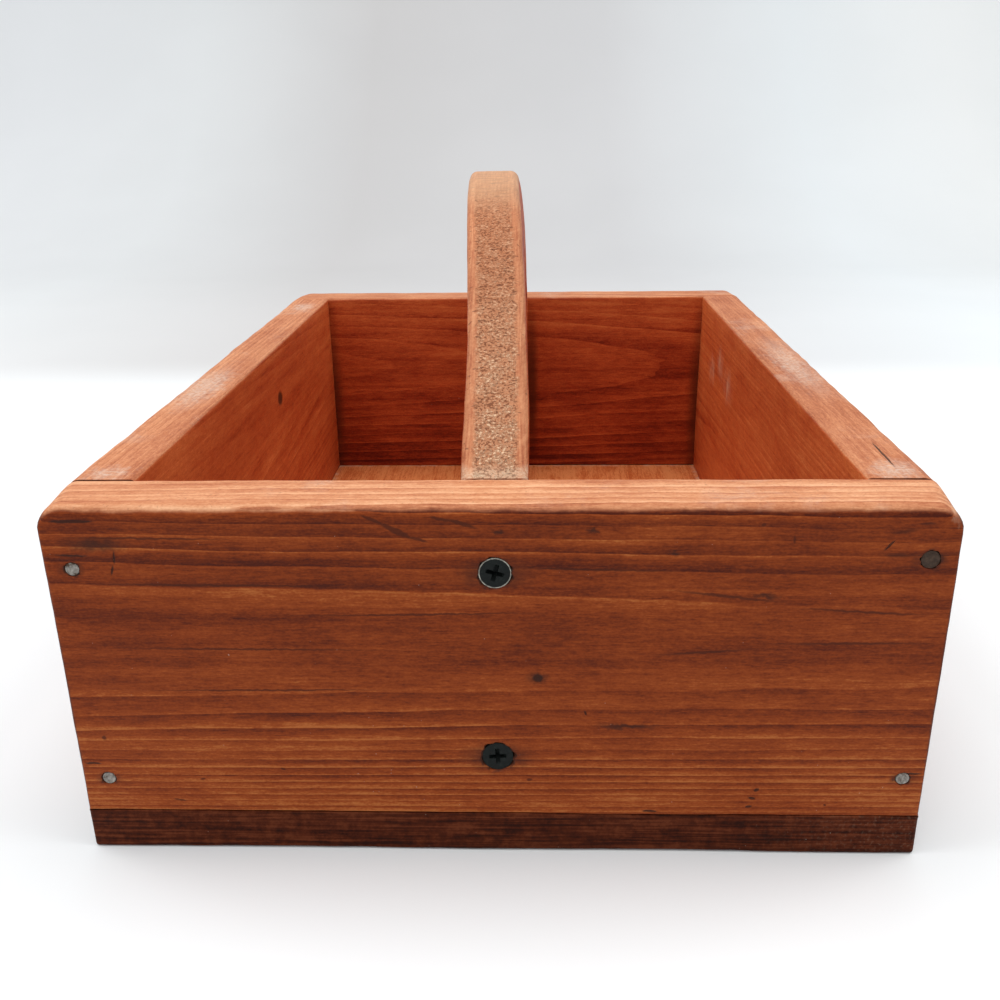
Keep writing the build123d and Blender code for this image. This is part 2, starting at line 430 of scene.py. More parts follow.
def handle_ribs():
    """Pairs of points, on the outer and the inner outline, from the front foot to the crown."""
    span, slope, radius = HANDLE_HIGH[1], HANDLE_SLOPE, CROWN_RADIUS
    sine, cosine = math.sin(slope), math.cos(slope)
    centre = (0.0, HANDLE_HIGH[2] - radius)
    tangent = math.pi / 2 + slope
    opening = span - LEG_WIDTH
    spring = RIM_Z + (LEG_WIDTH * sine - HANDLE_BAND) / cosine
    trim = LEG_CORNER_RADIUS * math.tan((math.pi / 2 - slope) / 2)
    turn_centre = (-opening + LEG_CORNER_RADIUS, spring - trim)
    turn = arc(turn_centre, LEG_CORNER_RADIUS, math.pi, tangent, 24)

    crown_outer = arc(centre, radius, tangent, math.pi / 2, 75)
    crown_inner = arc(centre, radius - HANDLE_BAND, tangent, math.pi / 2, 75)
    leg_outer = resample([(-span, FLOOR_Z), (-span, RIM_Z)], 40)
    leg_inner = resample([(-opening, FLOOR_Z)] + turn[:12], 40)
    shoulder_outer = resample([(-span, RIM_Z), crown_outer[0]], 130)
    shoulder_inner = resample(turn[11:] + [crown_inner[0]], 130)
    outer = np.concatenate([leg_outer[:-1], shoulder_outer[:-1], crown_outer])
    inner = np.concatenate([leg_inner[:-1], shoulder_inner[:-1], crown_inner])
    return outer, inner


def rib_section(width, depth, radius, across=26, deep=14, turn=6):
    """A rounded rectangle as (x, share of depth) points, starting on the outer face."""
    half = width / 2
    corner = radius / depth
    quarter = np.linspace(0, math.pi / 2, turn)
    outer = [(x, 1.0) for x in np.linspace(-half + radius, half - radius, across)]
    right = [(half - radius + radius * math.sin(a), 1 - corner + corner * math.cos(a)) for a in quarter[1:]]
    down = [(half, share) for share in np.linspace(1 - corner, corner, deep)[1:]]
    low = [(half - radius + radius * math.cos(a), corner - corner * math.sin(a)) for a in quarter[1:]]
    inner = [(x, 0.0) for x in np.linspace(half - radius, 0, across // 4)[1:]]
    right_side = right + down + low + inner
    left_side = [(-x, share) for x, share in right_side[:-1]][::-1]
    return np.array(outer + right_side + left_side)


def lean_at(points):
    """How far the handle's middle lies to the right: its crown leans left, and its back foot too."""
    share = np.clip((points[:, 2] - RIM_Z) / (HANDLE_HIGH[2] - RIM_Z), 0, 1)
    foot = np.interp(points[:, 1], (HANDLE_LOW[1], HANDLE_HIGH[1]), HANDLE_SHIFTS)
    return foot + HANDLE_BOW * share**HANDLE_BOW_POWER


def bowed(points):
    """The leaning handle, a little thicker at its foot."""
    flare = 1 - smoothstep(points[:, 2], RIM_Z, RIM_Z + FOOT_FLARE_RISE)
    wider = points[:, 0] * flare * FOOT_FLARE / (HANDLE_HIGH[0] - HANDLE_LOW[0])
    return points + np.outer(lean_at(points) + wider, (1, 0, 0))


def handle_piece():
    outer, inner = handle_ribs()
    mirror = np.array([-1, 1])
    outer = np.concatenate([outer, (outer[:-1] * mirror)[::-1]])
    inner = np.concatenate([inner, (inner[:-1] * mirror)[::-1]])
    width = HANDLE_HIGH[0] - HANDLE_LOW[0] + HANDLE_GROWTH
    section = rib_section(width, HANDLE_BAND, HANDLE_EDGE_RADIUS)
    around = len(section)
    rows = []
    for top, bottom in zip(outer, inner):
        flat = bottom + (top - bottom) * section[:, 1:]
        rows.append(np.column_stack([section[:, 0], flat]))
    points = bowed(np.concatenate(rows))
    quads = tube_quads(len(outer), around)
    quads.append(tuple(range(around)))
    quads.append(tuple(range((len(outer) - 1) * around, len(outer) * around)))
    piece = mesh_object("arch_handle_wood", points, quads)
    displace(piece, handle_surface)
    return piece


def handle_surface(points, normals):
    """Sanded faces and wavy edges, with a coarse sawn grain on the outer shoulders."""
    upward = smoothstep(normals[:, 2], 0.45, 0.75) * (points[:, 2] > RIM_Z - 2)
    shoulder = smoothstep(np.abs(points[:, 1]), 42, 78) * upward
    middle = 1 - smoothstep(np.abs(points[:, 0] - lean_at(points)), 4.8, 7.2)
    coarse = ripple(points, 1.7, 11, 60) + 0.6 * ripple(points, 0.9, 12, 60)
    fine = ripple(points, 1.1, 13, 40)
    pits = np.minimum(ripple(points, 2.6, 14, 50) + 0.9, 0)
    sawn = 0.085 * coarse * shoulder * (0.25 + 0.75 * middle) + 0.16 * pits * shoulder * middle
    crown = 0.018 * fine * upward
    wavy = 0.10 * ripple(points, 34, 15) + 0.04 * ripple(points, 11, 16)
    return np.minimum(sawn + crown + wavy - 0.20, -0.01)


# ---------------- material nodes


class Look:
    """A material whose nodes are added one by one. Plain values or sockets go in."""

    def __init__(self, name):
        self.material = bpy.data.materials.new(name)
        self.material.use_nodes = True
        self.tree = self.material.node_tree
        self.tree.nodes.clear()
        place = self.add("TexCoord").outputs["Object"]
        self.at = self.vector("SCALE", place, Scale=1 / MM)
        self.x, self.y, self.z = self.split(self.at)
        geometry = self.add("NewGeometry")
        self.normal = self.split(geometry.outputs["Normal"])

    def add(self, kind, inputs=None, **settings):
        node = self.tree.nodes.new("ShaderNode" + kind)
        for key, value in settings.items():
            setattr(node, key, value)
        for key, value in (inputs or {}).items():
            self.feed(node.inputs[key], value)
        return node

    def feed(self, socket, value):
        if isinstance(value, bpy.types.NodeSocket):
            self.tree.links.new(value, socket)
        elif isinstance(value, tuple) and socket.type == "RGBA":
            socket.default_value = (*value, 1.0)
        else:
            socket.default_value = value

    def calculate(self, operation, *values):
        return self.add("Math", dict(enumerate(values)), operation=operation).outputs[0]

    plus = partialmethod(calculate, "ADD")
    minus = partialmethod(calculate, "SUBTRACT")
    times_plus = partialmethod(calculate, "MULTIPLY_ADD")
    absolute = partialmethod(calculate, "ABSOLUTE")
    larger = partialmethod(calculate, "MAXIMUM")

    def times(self, value, *factors):
        for factor in factors:
            value = self.calculate("MULTIPLY", value, factor)
        return value

    def vector(self, operation, *values, **named):
        node = self.add("VectorMath", {**dict(enumerate(values)), **named}, operation=operation)
        return node.outputs["Value" if operation == "LENGTH" else "Vector"]

    def split(self, vector):
        return list(self.add("SeparateXYZ", {0: vector}).outputs)

    def join(self, x, y, z):
        return self.add("CombineXYZ", {0: x, 1: y, 2: z}).outputs[0]

    def noise(self, vector, wavelength, detail=2.0, roughness=0.5):
        """Noise from 0 to 1 whose features are about wavelength across."""
        inputs = {"Vector": vector, "Scale": 1 / wavelength, "Detail": detail, "Roughness": roughness}
        return self.add("TexNoise", inputs).outputs["Fac"]

    def remap(self, value, low, high, to_low=0.0, to_high=1.0, kind="SMOOTHSTEP"):
        inputs = {0: value, 1: low, 2: high, 3: to_low, 4: to_high}
        return self.add("MapRange", inputs, interpolation_type=kind).outputs[0]

    def ramp(self, share, points):
        """A colour ramp from (place, colour) points. A number stands for a grey."""
        node = self.add("ValToRGB", {0: share})
        stops_used = node.color_ramp.elements
        while len(stops_used) < len(points):
            stops_used.new(0.5)
        for stop, (place, colour) in zip(stops_used, points):
            stop.position = place
            stop.color = (*(colour if isinstance(colour, tuple) else (colour,) * 3), 1.0)
        return node.outputs["Color"]

    def mix(self, share, first, second):
        return self.add("Mix", {0: share, 6: first, 7: second}, data_type="RGBA").outputs[2]

    def finish(self, colour, roughness, gloss, height=None, relief=0.0, metal=0.0):
        """Ends the material. relief is how high height reaches, in millimetres."""
        inputs = {"Base Color": colour, "Roughness": roughness, "Specular IOR Level": gloss}
        inputs["Metallic"] = metal
        if height is not None:
            bump = {"Strength": 1.0, "Distance": relief * MM, "Height": height}
            inputs["Normal"] = self.add("Bump", bump).outputs[0]
        surface = self.add("BsdfPrincipled", inputs)
        output = self.add("OutputMaterial")
        self.tree.links.new(surface.outputs[0], output.inputs[0])
        return self.material


Mark = namedtuple("Mark", "place size turn soft", defaults=((0, 0, 0), 0.3))
SWAY_RATE = 0.45


def marked(look, marks, sway):
    """1 on the marks and 0 away from them. A mark's size is its half-lengths, its turn in degrees."""
    waves = look.add("TexNoise", {"Vector": look.at, "Scale": SWAY_RATE, "Detail": 3.0})
    offset = look.vector("SUBTRACT", waves.outputs["Color"], (0.5, 0.5, 0.5))
    at = look.vector("MULTIPLY_ADD", offset, (2 * sway,) * 3, look.at)
    total = None
    for mark in marks:
        turn = [math.radians(angle) for angle in mark.turn]
        inputs = {"Vector": at, "Location": mark.place, "Rotation": turn, "Scale": mark.size}
        local = look.add("Mapping", inputs, vector_type="TEXTURE").outputs[0]
        inside = look.remap(look.vector("LENGTH", local), 1.0, 1.0 - mark.soft)
        total = look.larger(total, inside) if total else inside
    return total


# ---------------- wood

OUTSIDE_STAIN = [
    (0.0, (0.085, 0.011, 0.003)),
    (0.25, (0.175, 0.026, 0.004)),
    (0.5, (0.285, 0.048, 0.007)),
    (0.75, (0.400, 0.080, 0.014)),
    (1.0, (0.560, 0.165, 0.040)),
]
# The inner faces' stain, lighter than the outer one partly as painted light for the inside of the box.
INSIDE_STAIN_AND_LIGHT = [
    (0.0, (0.110, 0.009, 0.004)),
    (0.25, (0.280, 0.034, 0.009)),
    (0.5, (0.470, 0.085, 0.021)),
    (0.75, (0.600, 0.150, 0.040)),
    (1.0, (0.760, 0.270, 0.090)),
]
# Pale worn wood of the top edges, made paler still as a painted sheen.
WORN_STAIN_AND_SHEEN = [
    (0.0, (0.320, 0.085, 0.033)),
    (0.3, (0.490, 0.165, 0.072)),
    (0.6, (0.640, 0.265, 0.125)),
    (1.0, (0.840, 0.450, 0.250)),
]
DARK_STAIN = [(0.3, (0.030, 0.005, 0.0015)), (0.5, (0.088, 0.0155, 0.004)), (0.72, (0.17, 0.040, 0.014))]
SAWN_STAIN = ((0.470, 0.178, 0.082), (0.570, 0.252, 0.130))
PHOSPHATE = [(0.3, (0.004, 0.005, 0.005)), (0.55, (0.009, 0.012, 0.011)), (0.8, (0.026, 0.031, 0.028))]
END_GRAIN = (0.075, 0.026, 0.014)
GRIME = (0.040, 0.012, 0.007)
FAINT_MARK_AND_SHADE = (0.080, 0.015, 0.005)
DEEP_MARK = (0.032, 0.009, 0.005)
DUST = (0.70, 0.56, 0.46)
RUBBED = (0.66, 0.42, 0.28)
WOOD_GLOSS = 0.16
BASE_GLOSS = 0.1
SCREW_GLOSS = 0.16
STEEL_GLOSS = 0.2
PAPER_GLOSS = 0.2
INSIDE_CONTRAST = 0.72
WALL_MIDDLE = 50.0

# How growth rings lie in a board. pith is the tree's middle, as (across, through); lean is how
# far it moves through the board for each millimetre along it; spacing is the rings' width at
# first_ring from the pith, and crowding how fast they narrow outwards; fade hides the rings in
# a strip of that half-width level with the pith.
Rings = namedtuple("Rings", "pith lean first_ring spacing crowding sway fade seed")

RING_BAND = [(0.0, 0.20), (0.12, 0.26), (0.55, 0.50), (0.85, 0.66), (0.95, 0.84), (1.0, 0.42)]


def ring_band(look, along, across, through, rings):
    """Each year's ring from about -0.3, dark, to 0.3, light: a sharp start and a slow end."""
    loose = look.join(look.times(along, 0.12), across, through)
    drift = look.minus(look.noise(loose, 24, 2.0), 0.5)
    quiver = look.minus(look.noise(loose, 4.5, 1.0), 0.5)
    pith_through = look.times_plus(along, rings.lean, rings.pith[1])
    beside = look.minus(across, rings.pith[0])
    gap = look.join(0.0, beside, look.minus(through, pith_through))
    reach = look.minus(look.vector("LENGTH", gap), rings.first_ring)
    rate = look.times_plus(reach, rings.crowding, 1 / rings.spacing)
    year = look.times(reach, rate)
    year = look.times_plus(drift, rings.sway, year)
    year = look.times_plus(quiver, 0.3, year)
    whole = look.calculate("FLOOR", year)
    vivid = look.add("TexWhiteNoise", {"W": whole}, noise_dimensions="1D").outputs["Value"]
    band = look.minus(look.ramp(look.calculate("FRACT", year), RING_BAND), 0.5)
    band = look.times(band, look.times_plus(vivid, 0.9, 0.45))
    shown = look.remap(look.absolute(beside), rings.fade * 0.4, rings.fade * 1.2 + 0.1, 0.25, 1.0)
    patchy = look.remap(look.noise(loose, 19, 2.0), 0.32, 0.62, 0.50, 1.0)
    return look.times(band, look.times(shown, patchy))


# Layers of noise in the wood: how far each is shortened along the grain, its width across it,
# its detail and roughness, and how much it lightens and darkens. The first one is the fibres.
GRAIN_LAYERS = (
    (0.09, 0.42, 3.0, 0.7, 0.60),
    (0.035, 1.7, 2.0, 0.6, 0.55),
    (0.020, 5.0, 2.0, 0.5, 0.45),
    (0.40, 11.0, 4.0, 0.65, 0.75),
    (0.30, 0.9, 2.0, 0.6, 0.45),
    (0.55, 0.45, 1.0, 0.6, 0.45),
)

SEED_SHIFT = 137.0


def wood_grain(look, along, across, through, rings, ring_gain):
    """A share from 0, dark, to 1, light, and the fibres' noise."""
    along = look.plus(along, rings.seed * SEED_SHIFT)
    pith = (rings.pith[0], rings.pith[1] - rings.lean * rings.seed * SEED_SHIFT)
    band = ring_band(look, along, across, through, rings._replace(pith=pith))
    middle = 0.5 - 0.5 * sum(gain for *_, gain in GRAIN_LAYERS)
    level = look.times_plus(band, ring_gain, middle)
    fibres = None
    for stretch, width, detail, roughness, gain in GRAIN_LAYERS:
        place = look.join(look.times(along, stretch), across, through)
        layer = look.noise(place, width, detail, roughness)
        fibres = fibres or layer
        level = look.times_plus(layer, gain, level)
    dashes = look.noise(look.join(look.times(along, 0.09), across, through), 0.62, 1.0)
    level = look.minus(level, look.remap(dashes, 0.66, 0.74, 0.0, 0.16))
    return level, fibres


def rim_wear_and_sheen_mask(look):
    """1 on the boards' top edges, pale from wear and from painted sheen, with an uneven border."""
    border = look.noise(look.at, 9, 3.0, 0.6)
    low = look.times_plus(border, 0.5, 0.10)
    upward = look.remap(look.normal[2], low, look.plus(low, 0.42))
    return look.times(upward, look.remap(look.z, RIM_Z - 4.5, RIM_Z - 1.5))


def worn_and_sheen_colour(look, level):
    """The pale top edges: worn wood lightened as painted sheen, with short dark fibres."""
    colour = look.ramp(level, WORN_STAIN_AND_SHEEN)
    pores = look.remap(look.noise(look.at, 0.9, 2.0, 0.6), 0.60, 0.72, 0.0, 0.35)
    return look.mix(pores, colour, (0.24, 0.085, 0.040))


def inward_mask(look, axis, low, high):
    """1 on the half of a board that faces the inside, 0 on the outer half."""
    middle = (low[axis] + high[axis]) / 2
    towards = -1.0 if middle > 0 else 1.0
    place = (look.x, look.y, look.z)[axis]
    depth = look.times(look.minus(place, middle), towards)
    return look.remap(depth, -2.0, 2.0)


def haze_on(look, worn, hazes):
    """Pale rubbed and dusty patches on the top edges."""
    haze = look.remap(look.noise(look.at, 30, 4.0, 0.65), 0.54, 0.74, 0.0, 0.30)
    if hazes:
        haze = look.larger(haze, look.times(marked(look, hazes, 6.0), 0.55))
    grit = look.remap(look.noise(look.at, 1.1, 3.0, 0.7), 0.35, 0.65, 0.35, 1.25)
    return look.times(haze, grit, worn)


def dusted(look, colour):
    """The colour with tiny pale flecks of dust and raised fibre on it."""
    grains = look.noise(look.at, 0.8, 1.0)
    patches = look.noise(look.at, 18, 2.0)
    level = look.times_plus(patches, 0.12, look.minus(grains, 0.06))
    return look.mix(look.times(look.remap(level, 0.80, 0.85), 0.5), colour, DUST)


# What is particular to one board's finish: the axes along, across and through it, its rings, how
# much lighter its two faces are at the rim, the middle and the floor, and its marks.
FIELDS = "axes rings ring_gain outside inside rim_level marks faint halos pale hazes"
Finish = namedtuple("Finish", FIELDS, defaults=((),) * 5)


def height_level(look, levels):
    """How much lighter a wall is at a height, from its levels at the rim, the middle and the floor."""
    rim, middle, floor = levels
    upper = look.remap(look.z, RIM_Z, WALL_MIDDLE, rim, middle, kind="LINEAR")
    return look.plus(upper, look.remap(look.z, WALL_MIDDLE, FLOOR_Z, 0.0, floor - middle))


def board_material(node, finish):
    """Stained wood for the board that stands for a CAD node."""
    look = Look(node + "_finish")
    low, high = spans(node)
    places = [look.x, look.y, look.z]
    grain_places = [places[axis] for axis in finish.axes]
    level, fibres = wood_grain(look, *grain_places, finish.rings, finish.ring_gain)
    # worn marks the top edges, pale from wear and from painted sheen.
    worn = rim_wear_and_sheen_mask(look)
    inward = inward_mask(look, finish.axes[2], low, high)
    outside = look.plus(level, height_level(look, finish.outside))
    calm = look.times_plus(level, INSIDE_CONTRAST, 0.5 - 0.5 * INSIDE_CONTRAST)
    inside = look.plus(calm, height_level(look, finish.inside))
    # The inner half takes the lighter inside ramp: its stain and painted light.
    colour = look.mix(inward, look.ramp(outside, OUTSIDE_STAIN), look.ramp(inside, INSIDE_STAIN_AND_LIGHT))
    colour = look.mix(worn, colour, worn_and_sheen_colour(look, look.plus(level, finish.rim_level)))
    facing = look.absolute(look.normal[finish.axes[0]])
    ends = look.times(look.remap(facing, 0.35, 0.8), look.minus(1.0, worn))
    colour = look.mix(look.times(ends, 0.85), colour, END_GRAIN)
    colour = look.mix(haze_on(look, worn, finish.hazes), colour, DUST)
    colour, height = with_marks(look, finish, colour, look.times(fibres, 0.8))
    roughness = look.times_plus(fibres, 0.2, look.times_plus(worn, 0.1, 0.40))
    return look.finish(dusted(look, colour), roughness, WOOD_GLOSS, height, 0.10)


def with_marks(look, finish, colour, height):
    """The colour and the height with the finish's stains, bruises, splits, pale rubs and painted shade."""
    if finish.halos:
        colour = look.mix(look.times(marked(look, finish.halos, 1.8), 0.80), colour, GRIME)
    # Faint marks, and strips of painted shade.
    if finish.faint:
        colour = look.mix(look.times(marked(look, finish.faint, 0.5), 0.80), colour, FAINT_MARK_AND_SHADE)
    if finish.marks:
        dark = marked(look, finish.marks, 0.3)
        colour = look.mix(look.times(dark, 0.85), colour, DEEP_MARK)
        height = look.minus(height, look.times(dark, 2.0))
    if finish.pale:
        streaks = look.noise(look.vector("MULTIPLY", look.at, (1.0, 1.0, 0.25)), 3.6, 3.0, 0.65)
        streaks = look.remap(streaks, 0.42, 0.64, 0.12, 0.62)
        colour = look.mix(look.times(marked(look, finish.pale, 2.2), streaks), colour, RUBBED)
    return colour, height


def on_front(x, z, half_length, half_width, turn=0.0, soft=0.3):
    """A mark on the front end board's outer face, turned clockwise as seen from the front."""
    return Mark((x, FRONT_Y, z), (half_length, 6.0, half_width), (0, turn, 0), soft)


# Marks on the front face: x, z, half-length, half-width, then the turn and the softness.
# First a knot, splits and bark flecks, then gouges, clear year rings, bruises, and painted shade on the
# rounded side edges.
FRONT_MARKS = (
    (10.5, 54, 1.6, 1.5, 0, 0.4),
    (-103.2, 97, 6, 0.48),
    (-104.3, 88, 5, 0.36, 2, 0.6),
    (-93.8, 87.5, 0.34, 2.2, 5, 0.6),
    (-94.8, 84, 0.36, 1.8, 17, 0.6),
    (94.6, 90.8, 2.2, 0.34, -48, 0.5),
    (68.3, 20.3, 1, 0.6, -20, 0.5),
    (67.3, 17.7, 1.2, 0.5, 10, 0.5),
    (66.6, 15, 1.1, 0.5, -10, 0.5),
    (40.5, 13.4, 2.2, 0.4, 0),
    (-108.4, 27.3, 2.6, 0.32, 0),
    (108, 25.7, 3.4, 0.36, 0, 0.5),
    (22.8, 43.7, 0.4, 0.9, -20, 0.6),
)
FRONT_FAINT_MARKS_AND_EDGE_SHADE = (
    (-29.4, 97.5, 3.6, 0.55, 22, 0.45),
    (-23.8, 94.6, 5.6, 0.95, 28, 0.45),
    (-18.6, 92.4, 3.2, 0.55, 16, 0.45),
    (-12.7, 97.6, 3.4, 0.55, 12, 0.45),
    (-8, 96.5, 4.8, 0.70, 18, 0.5),
    (97.8, 94.5, 4.5, 0.9, -8, 0.9),
    (103, 96.4, 3, 0.5, 0, 0.8),
    (97, 88.2, 5.5, 1, 2, 0.9),
    (71.9, 92.2, 0.5, 1.5, 0, 0.7),
    (33.5, 39.8, 8.6, 0.60, 0, 0.7),
    (8.3, 23.1, 1, 0.6, 0, 0.6),
    (-104.2, 35.4, 0.9, 0.8, 40, 0.6),
    (-79.3, 22.6, 1.2, 0.4, 0, 0.6),
    (-57.2, 25.8, 1, 0.5, 30, 0.6),
    (-86.2, 15.7, 2.4, 0.4, 10, 0.6),
    (64.4, 96.1, 0.7, 0.7, 0, 0.6),
    (86.6, 15.6, 0.6, 0.6, 0, 0.6),
    (57, 77.2, 18, 0.55, 6.5, 0.7),
    (90, 73, 21, 0.50, 3.5, 0.7),
    (52, 61.6, 16, 0.50, -4.5, 0.7),
    (88, 64.2, 25, 0.50, -0.5, 0.7),
    (-86, 92.6, 28, 0.45, 0.5, 0.7),
    (-70, 80, 38, 0.45, 0.5, 0.7),
    (-20, 72, 40, 0.40, -0.8, 0.7),
    (24, 84.3, 28, 0.45, 1.2, 0.7),
    (-62, 62, 44, 0.40, 0.3, 0.7),
    (-60, 50, 40, 0.40, -0.4, 0.7),
    # The last two: painted shade on the rounded left and right edges.
    (-111.9, 46, 1.1, 46, 0, 0.8),
    (111.9, 50, 1.2, 42, 0, 0.8),
)
FRONT_STAINS = (
    (10.5, 54, 4.2, 2.4, 0, 0.9),
    (66.3, 77.4, 5, 1.2, 6, 0.95),
    (-98, 91, 12, 3, 0, 0.95),
    (33.5, 39.8, 11, 1.2, 0, 0.95),
    (43.5, 88.7, 2.6, 0.8, 0, 0.9),
    (1, 94.2, 2, 0.8, 0, 0.9),
    (23.7, 94.6, 2.2, 0.8, 0, 0.9),
)


def front_halos():
    """Soft dark stains in the front face, drawn out along the grain: round the iron, and others."""
    halos = []
    for node in SCREWS + NAILS:
        if "_front" in node and not node.startswith("base"):
            seat = seat_of(node)
            reach = 3.2 if node in SCREWS else 2.6
            for wide, high, soft in ((reach, 1.5, 0.95), (1.5, 1.3, 0.4)):
                size = (seat.radius * wide, seat.radius * high)
                halos.append(on_front(seat.head[0], seat.head[2], *size, 0, soft))
    return halos + [on_front(*row) for row in FRONT_STAINS]


def front_finish():
    """Wide rings above, narrow ones below, and the marks that the photograph shows."""
    rings = Rings((64.0, FRONT_Y + 35.5), 0.010, 35.0, 3.4, 0.008, 0.9, 8.0, 1)
    return Finish(
        (0, 2, 1),
        rings,
        ring_gain=1.05,
        outside=(-0.08, 0.05, 0.25),
        inside=(0, 0, 0),
        rim_level=0.14,
        marks=[on_front(*row) for row in FRONT_MARKS],
        faint=[on_front(*row) for row in FRONT_FAINT_MARKS_AND_EDGE_SHADE],
        halos=front_halos(),
        pale=[Mark((110.4, FRONT_Y + 2.0, 97.8), (2.2, 5, 2.8), (0, 20, 0), 0.35)],
    )


def back_finish():
    """Tall arches of grain, for the board was cut far from the middle of the tree."""
    rings = Rings((66.0, BACK_LOW[1] - 16.0), -0.085, 10.6, 6.4, 0.001, 0.7, 0.1, 2)
    # Painted shade: a dark strip beside the handle's back foot and dark strips in both inner corners.
    shade = [
        Mark((8.5, BACK_LOW[1], 55.0), (4.6, 5.0, 52.0), soft=0.8),
        Mark((LEFT_HIGH[0], BACK_LOW[1], 45.0), (6.0, 5.0, 70.0), soft=0.95),
        Mark((RIGHT_LOW[0], BACK_LOW[1], 45.0), (6.5, 5.0, 70.0), soft=0.95),
    ]
    return Finish((0, 2, 1), rings, 0.60, (-0.06, 0, 0.1), (0.03, -0.14, -0.31), -0.06, faint=shade)


def left_finish():
    wall, rim = LEFT_HIGH[0], LEFT_LOW[0]
    rings = Rings((74.0, wall + 40.0), 0.03, 40.0, 3.0, 0.006, 1.0, 8.0, 3)
    dent = [Mark((wall, 22.0, 80.0), (5.0, 5.0, 3.6), soft=0.5)]
    hazes = [
        Mark((rim + 8, -40, RIM_Z), (9, 38, 9), soft=0.8),
        Mark((rim + 10, 112, RIM_Z), (8, 14, 9), soft=0.8),
        Mark((rim + 9, -130, RIM_Z), (8, 9, 9), soft=0.95),
    ]
    return Finish((1, 2, 0), rings, 0.45, (-0.06, 0, 0.1), (0.11, 0.09, 0.07), -0.06, dent, hazes=hazes)


def right_finish():
    wall, rim = RIGHT_LOW[0], RIGHT_HIGH[0]
    rings = Rings((30.0, wall - 44.0), -0.03, 44.0, 3.0, 0.006, 1.0, 8.0, 4)
    split = [Mark((104.0, -115.0, RIM_Z), (0.4, 12.5, 3.0), (0, 0, -2), 0.4)]
    pale = [
        Mark((wall, 75.0, 80.5), (5.0, 12.0, 10.0), (15, 0, 0), 0.95),
        Mark((wall, 96.0, 73.0), (5.0, 12.0, 9.5), soft=0.95),
        Mark((wall, 55.0, 75.0), (5.0, 15.0, 11.0), soft=0.95),
    ]
    hazes = [
        Mark((rim - 8, -10, RIM_Z), (9, 60, 9), soft=0.9),
        Mark((rim - 9, -128, RIM_Z), (9, 12, 9), soft=0.95),
    ]
    levels = ((-0.06, 0, 0.1), (0.15, 0.13, 0.11), -0.13)
    return Finish((1, 2, 0), rings, 0.45, *levels, split, pale=pale, hazes=hazes)


def floor_mask(look):
    """1 on the part of the base board that is the floor inside."""
    inside = look.remap(look.z, FLOOR_Z - 1.2, FLOOR_Z - 0.6)
    for place, wall in ((look.x, RIGHT_LOW[0]), (look.y, BACK_LOW[1])):
        inside = look.times(inside, look.remap(look.absolute(place), wall + 0.8, wall + 0.2))
    return inside


def floor_colour(look, level):
    """The orange floor, with dust settled along the walls."""
    floor = look.ramp(look.plus(level, 0.38), INSIDE_STAIN_AND_LIGHT)
    back_corner = look.remap(look.y, BACK_LOW[1] - 3.0, BACK_LOW[1] - 0.5)
    side_corner = look.remap(look.absolute(look.x), RIGHT_LOW[0] - 2.5, RIGHT_LOW[0] - 0.5)
    patches = look.remap(look.noise(look.at, 4, 3.0), 0.38, 0.66, 0.02, 0.35)
    return look.mix(look.times(look.larger(back_corner, side_corner), patches), floor, DUST)


def base_material():
    """The base board: almost black-brown edges and underside, an orange floor inside."""
    look = Look("base_board_finish")
    rings = Rings((30.0, -40.0), 0.02, 40.0, 3.0, 0.004, 1.0, 0.1, 5)
    level, fibres = wood_grain(look, look.y, look.x, look.z, rings, 0.3)
    flat = look.join(look.times(look.x, 0.03), look.times(look.y, 0.03), look.z)
    layers = look.noise(flat, 0.8, 3.0, 0.6)
    mottle = look.noise(look.at, 2.5, 4.0, 0.7)
    edge_level = look.times_plus(layers, 1.1, look.times_plus(mottle, 0.8, -0.45))
    below = look.remap(look.normal[2], -0.6, -0.9)
    grained = look.times_plus(level, 0.85, 0.08)
    edge_level = look.plus(edge_level, look.times(look.minus(grained, edge_level), below))
    dark = look.ramp(edge_level, DARK_STAIN)
    colour = look.mix(floor_mask(look), dark, floor_colour(look, level))
    right_end = look.remap(look.x, 55, 110, 0.0, 0.14)
    grit = look.times(look.remap(look.noise(look.at, 0.9, 3.0), 0.50, 0.72), right_end)
    colour = dusted(look, look.mix(grit, colour, (0.45, 0.30, 0.20)))
    height = look.times_plus(fibres, 0.4, look.times(edge_level, 0.8))
    return look.finish(colour, look.times_plus(mottle, 0.2, 0.50), BASE_GLOSS, height, 0.12)


def handle_masks(look):
    """Masks of the sanded outer side, the strip between its edges, and the sloping shoulders."""
    above = look.remap(look.z, RIM_Z - 6, RIM_Z - 1)
    outer = look.times(look.remap(look.normal[2], -0.10, 0.04), above)
    outer = look.times(outer, look.remap(look.absolute(look.normal[0]), 0.98, 0.88))
    from_centre = look.join(0.0, look.y, look.minus(look.z, HANDLE_HIGH[2] - CROWN_RADIUS))
    depth = look.minus(CROWN_RADIUS, look.vector("LENGTH", from_centre))
    wander = look.times_plus(look.noise(look.at, 6.0, 2.0), 2.0, depth)
    on_crown = look.remap(look.absolute(look.y), 96, 76)
    outer = look.larger(outer, look.times(look.remap(wander, 4.9, 3.9), on_crown))
    from_middle = look.absolute(look.minus(look.x, handle_middle(look)))
    border = look.times_plus(look.noise(look.at, 3.5, 3.0, 0.6), 2.6, 4.4)
    between = look.remap(look.minus(from_middle, border), 0.9, -0.9)
    return outer, between, look.remap(look.absolute(look.y), 14, 62)


